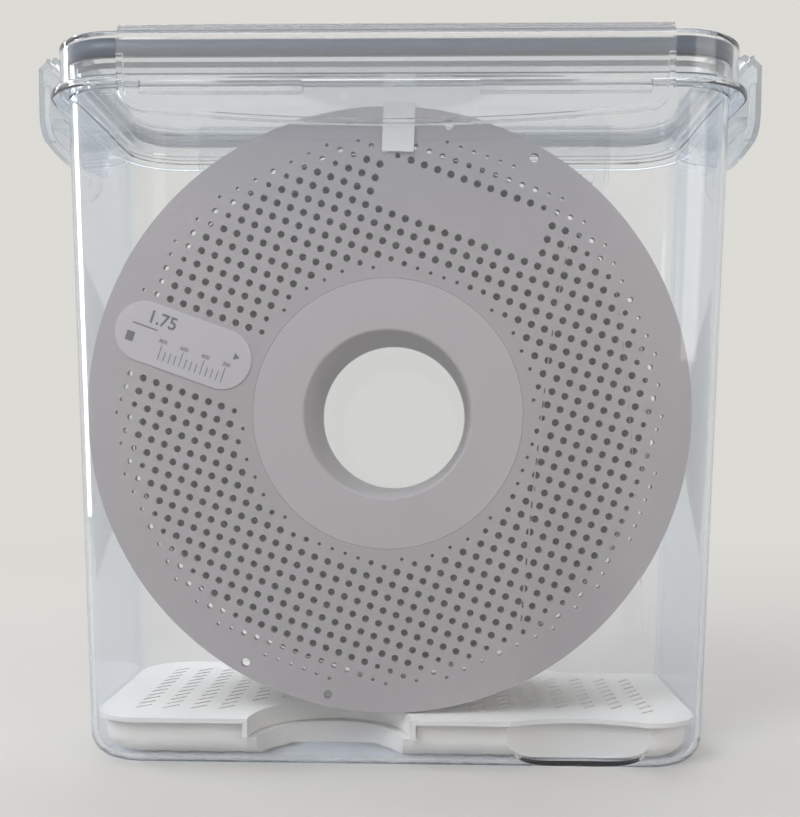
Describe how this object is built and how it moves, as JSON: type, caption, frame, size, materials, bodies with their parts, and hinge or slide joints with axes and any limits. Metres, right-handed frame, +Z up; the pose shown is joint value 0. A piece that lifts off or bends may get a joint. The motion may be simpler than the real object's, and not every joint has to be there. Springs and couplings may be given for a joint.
{
  "type": "filament dryer box",
  "caption": "Clear tall dry box with a sealed four-flap clip lid, holding a perforated filament spool that stands on a slitted desiccant tray.",
  "frame": {"origin": "middle of the base, at the bottom of the bounding box", "axes": "+X along the long side, +Y from the front to the back, +Z up"},
  "size_m": [0.2388, 0.1258, 0.2348],
  "materials": {
    "clear_shell": "clear gloss",
    "clear_lid": "milky clear",
    "seal": "soft matte",
    "spool_plastic": "fine matte",
    "label": "satin print",
    "filament": "satin",
    "printed_white": "layered print",
    "desiccant": "bead bed"
  },
  "bodies": {
    "container": {"container_body": "clear_shell", "desiccant_tray": "printed_white", "tray_cover": "printed_white", "desiccant_bed": "desiccant"},
    "lid": {"lid_shell": "clear_lid", "lid_gasket": "seal", "front_hinge_web": "clear_lid", "right_hinge_web": "clear_lid", "back_hinge_web": "clear_lid", "left_hinge_web": "clear_lid"},
    "flap_front": {"front_flap": "clear_lid"},
    "flap_right": {"right_flap": "clear_lid"},
    "flap_back": {"back_flap": "clear_lid"},
    "flap_left": {"left_flap": "clear_lid"},
    "spool": {"spool_front_flange": "spool_plastic", "spool_rear_flange": "spool_plastic", "spool_hub_front": "spool_plastic", "spool_hub_rear": "spool_plastic", "spool_label": "label", "filament_core": "filament", "filament_winding": "filament", "filament_clip": "printed_white"}
  },
  "joints": [
    {"name": "lid_lift", "type": "slide", "parent": "container", "child": "lid", "axis": [0, 0, 1], "range_m": [0, 0.08]},
    {"name": "front_flap_hinge", "type": "hinge", "parent": "lid", "child": "flap_front", "pos_m": [0, -0.0574, 0.2332], "axis": [-1, 0, 0], "range_deg": [0, 110]},
    {"name": "right_flap_hinge", "type": "hinge", "parent": "lid", "child": "flap_right", "pos_m": [0.1139, 0, 0.2332], "axis": [0, -1, 0], "range_deg": [0, 110]},
    {"name": "back_flap_hinge", "type": "hinge", "parent": "lid", "child": "flap_back", "pos_m": [0, 0.0574, 0.2332], "axis": [1, 0, 0], "range_deg": [0, 110]},
    {"name": "left_flap_hinge", "type": "hinge", "parent": "lid", "child": "flap_left", "pos_m": [-0.1139, 0, 0.2332], "axis": [0, 1, 0], "range_deg": [0, 110]},
    {"name": "spool_spin", "type": "hinge", "parent": "container", "child": "spool", "pos_m": [-0.0025, 0, 0.1165], "axis": [0, 1, 0], "range_deg": [-75, 160]}
  ]
}
